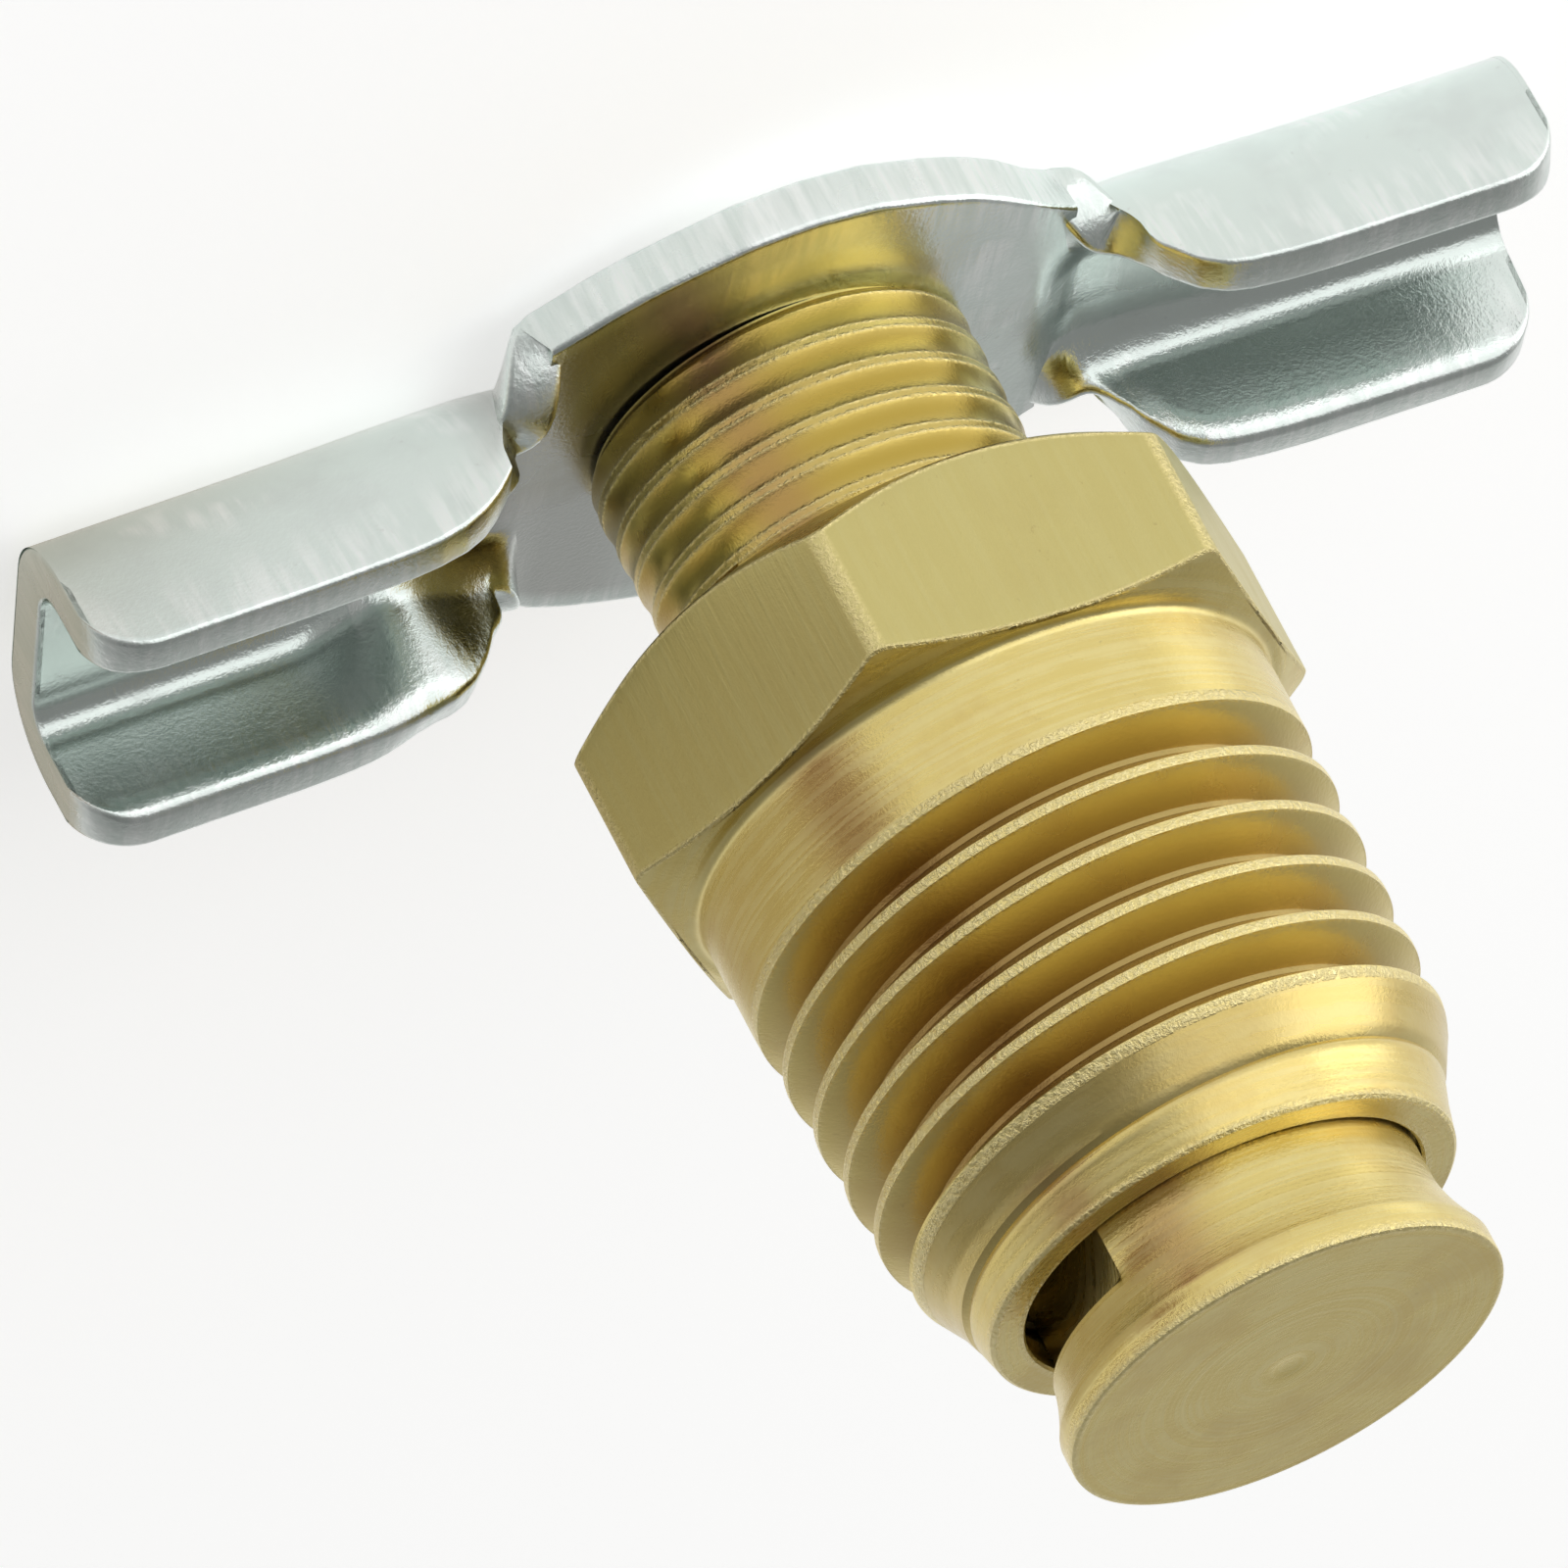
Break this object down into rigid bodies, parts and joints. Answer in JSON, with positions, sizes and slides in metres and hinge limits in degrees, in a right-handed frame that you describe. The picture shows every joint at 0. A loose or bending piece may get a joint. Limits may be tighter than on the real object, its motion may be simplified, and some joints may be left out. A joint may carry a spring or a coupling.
{
  "type": "bleeder valve",
  "caption": "Brass bleeder valve with a hexagon body, tapered pipe thread, outside-seated screw stem with a drain flat, and a pressed steel wing handle.",
  "frame": {"origin": "on the valve's axis, at the riveted stem end that the valve stands on", "axes": "+Z along the valve's axis from the handle to the stem head, +X along the handle's wings"},
  "size_m": [0.0354, 0.015, 0.0274],
  "materials": {
    "brass_body": "turned and drawn, satin",
    "brass_stem": "turned, satin",
    "plated_steel": "bright zinc plate"
  },
  "bodies": {
    "valve_body": {"valve_body": "brass_body"},
    "stem": {"stem": "brass_stem"},
    "wing_handle": {"wing_handle": "plated_steel"}
  },
  "joints": [
    {"name": "stem_travel", "type": "slide", "parent": "valve_body", "child": "stem", "axis": [0, 0, 1], "range_m": [-0.00136, 0.00272]},
    {"name": "handle_turn", "type": "hinge", "parent": "stem", "child": "wing_handle", "pos_m": [0, 0, 0.0013], "axis": [0, 0, -1], "range_deg": [-540, 1080]}
  ],
  "couplings": [
    {"joint": "handle_turn", "follows": "stem_travel", "rad_per_m": 6926.4}
  ]
}
